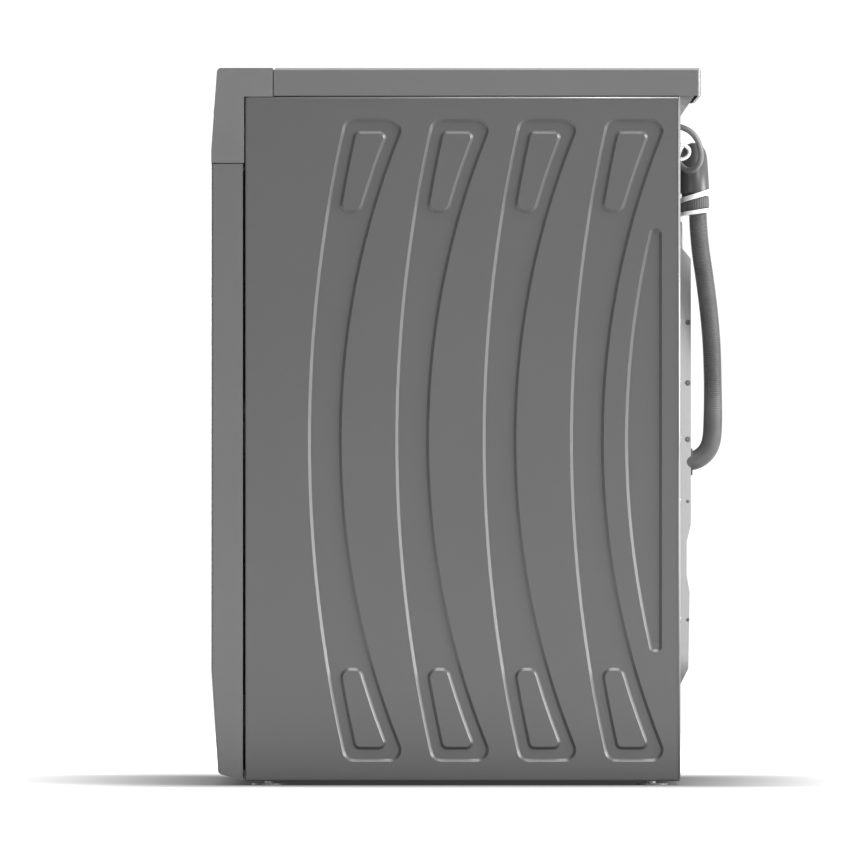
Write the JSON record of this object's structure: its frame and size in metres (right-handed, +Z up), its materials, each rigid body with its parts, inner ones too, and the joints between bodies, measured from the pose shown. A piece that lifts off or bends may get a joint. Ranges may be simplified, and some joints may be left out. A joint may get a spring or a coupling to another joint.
{
  "type": "front-loading washer-dryer",
  "caption": "Single silver-grey front-loading washer-dryer with pressed side panels, round door, drain hose and power cord at the back.",
  "frame": {"origin": "centre of the underside of the box round the machine without its hose and cord, on the floor", "axes": "+X is the machine's right seen from its front, -Y its front, +Z up"},
  "size_m": [0.6, 0.6092, 0.85],
  "materials": {
    "painted": "satin",
    "steel": "satin",
    "cover": "satin",
    "screw": "satin",
    "fascia": "satin",
    "dial": "satin",
    "display": "gloss",
    "boards": "matte",
    "white_plastic": "matte",
    "grey_plastic": "matte",
    "dark_metal": "satin",
    "window": "gloss",
    "glass": "gloss",
    "drum": "brushed",
    "alloy": "cast",
    "motor": "satin",
    "weight": "rough",
    "rubber": "matte",
    "hose": "satin",
    "cord": "satin"
  },
  "bodies": {
    "cabinet": {"right_side_panel": "painted", "left_side_panel": "painted", "base_pan": "steel", "levelling_feet": "screw", "cabinet_braces": "steel", "worktop": "painted", "rear_panel": "steel", "rear_cover": "cover", "rear_cover_screws": "screw", "front_panel": "painted", "control_fascia": "fascia", "display_window": "display", "control_electronics": "boards", "dispenser_housing": "white_plastic", "door_lock": "grey_plastic", "hinge_bracket": "dark_metal", "drain_pump": "grey_plastic", "damper_tubes": "dark_metal", "inlet_valves": "grey_plastic", "pump_outlet_hose": "rubber", "drain_hose": "hose", "rear_grommets": "rubber", "hose_guide": "hose", "hose_end": "hose", "hose_holder": "white_plastic", "power_cord": "cord", "cord_coil": "cord", "cord_tail": "cord", "power_plug": "cord", "suspension_springs": "dark_metal", "tub_bellows": "rubber", "door_gasket": "rubber"},
    "tub": {"tub_front": "grey_plastic", "tub_rear": "grey_plastic", "wash_heater": "drum", "drum_bearings": "drum", "motor_stator": "motor", "counterweights": "weight", "drying_duct": "alloy", "damper_rods": "dark_metal"},
    "drum": {"drum_shell": "drum", "drum_paddles": "drum", "drum_spider": "alloy", "motor_rotor": "motor"},
    "door": {"door_ring": "fascia", "door_window": "window", "door_inner_frame": "grey_plastic", "door_glass": "glass", "hinge_arm": "dark_metal"},
    "drawer": {"drawer_front": "fascia", "drawer_tray": "white_plastic"},
    "dial": {"program_dial": "dial"},
    "hatch": {"filter_hatch": "fascia"},
    "filter": {"filter_plug": "grey_plastic"},
    "pump_wheel": {"pump_impeller": "grey_plastic"},
    "fan": {"fan_impeller": "grey_plastic"},
    "temperature_key": {"temperature_button": "dial"},
    "drying_key": {"drying_button": "dial"},
    "start_key": {"start_button": "dial"},
    "power_key": {"power_button": "dial"}
  },
  "joints": [
    {"name": "door_hinge", "type": "hinge", "parent": "cabinet", "child": "door", "pos_m": [-0.232, -0.281, 0.425], "axis": [0, 0, -1], "range_deg": [0, 110]},
    {"name": "tub_bounce", "type": "slide", "parent": "cabinet", "child": "tub", "axis": [0, 0, 1], "range_m": [-0.008, 0.006], "stiffness_N_per_m": 60000, "springref_m": 0.0082, "deforming": ["suspension_springs", "tub_bellows", "door_gasket"]},
    {"name": "drum_spin", "type": "hinge", "parent": "tub", "child": "drum", "pos_m": [0, 0, 0.425], "axis": [0, 1, 0], "continuous": true},
    {"name": "drawer_slide", "type": "slide", "parent": "cabinet", "child": "drawer", "axis": [0, -1, 0], "range_m": [0, 0.17]},
    {"name": "dial_turn", "type": "hinge", "parent": "cabinet", "child": "dial", "pos_m": [0, -0.28675, 0.798], "axis": [0, -0.9974, 0.072], "continuous": true},
    {"name": "hatch_hinge", "type": "hinge", "parent": "cabinet", "child": "hatch", "pos_m": [0.205, -0.282, 0.034], "axis": [1, 0, 0], "range_deg": [0, 80]},
    {"name": "filter_turn", "type": "hinge", "parent": "cabinet", "child": "filter", "pos_m": [0.205, -0.264, 0.078], "axis": [0, -1, 0], "range_deg": [0, 90]},
    {"name": "pump_spin", "type": "hinge", "parent": "cabinet", "child": "pump_wheel", "pos_m": [0.205, -0.15, 0.078], "axis": [0, 1, 0], "continuous": true},
    {"name": "fan_spin", "type": "hinge", "parent": "tub", "child": "fan", "pos_m": [0.172, 0.06, 0.72], "axis": [0, 0, 1], "continuous": true},
    {"name": "temperature_press", "type": "slide", "parent": "cabinet", "child": "temperature_key", "axis": [0, 0.9974, -0.072], "range_m": [0, 0.002], "stiffness_N_per_m": 400, "springref_m": -0.0005},
    {"name": "drying_press", "type": "slide", "parent": "cabinet", "child": "drying_key", "axis": [0, 0.9974, -0.072], "range_m": [0, 0.002], "stiffness_N_per_m": 400, "springref_m": -0.0005},
    {"name": "start_press", "type": "slide", "parent": "cabinet", "child": "start_key", "axis": [0, 0.9974, -0.072], "range_m": [0, 0.002], "stiffness_N_per_m": 400, "springref_m": -0.0005},
    {"name": "power_press", "type": "slide", "parent": "cabinet", "child": "power_key", "axis": [0, 0.9974, -0.072], "range_m": [0, 0.002], "stiffness_N_per_m": 400, "springref_m": -0.0005}
  ]
}
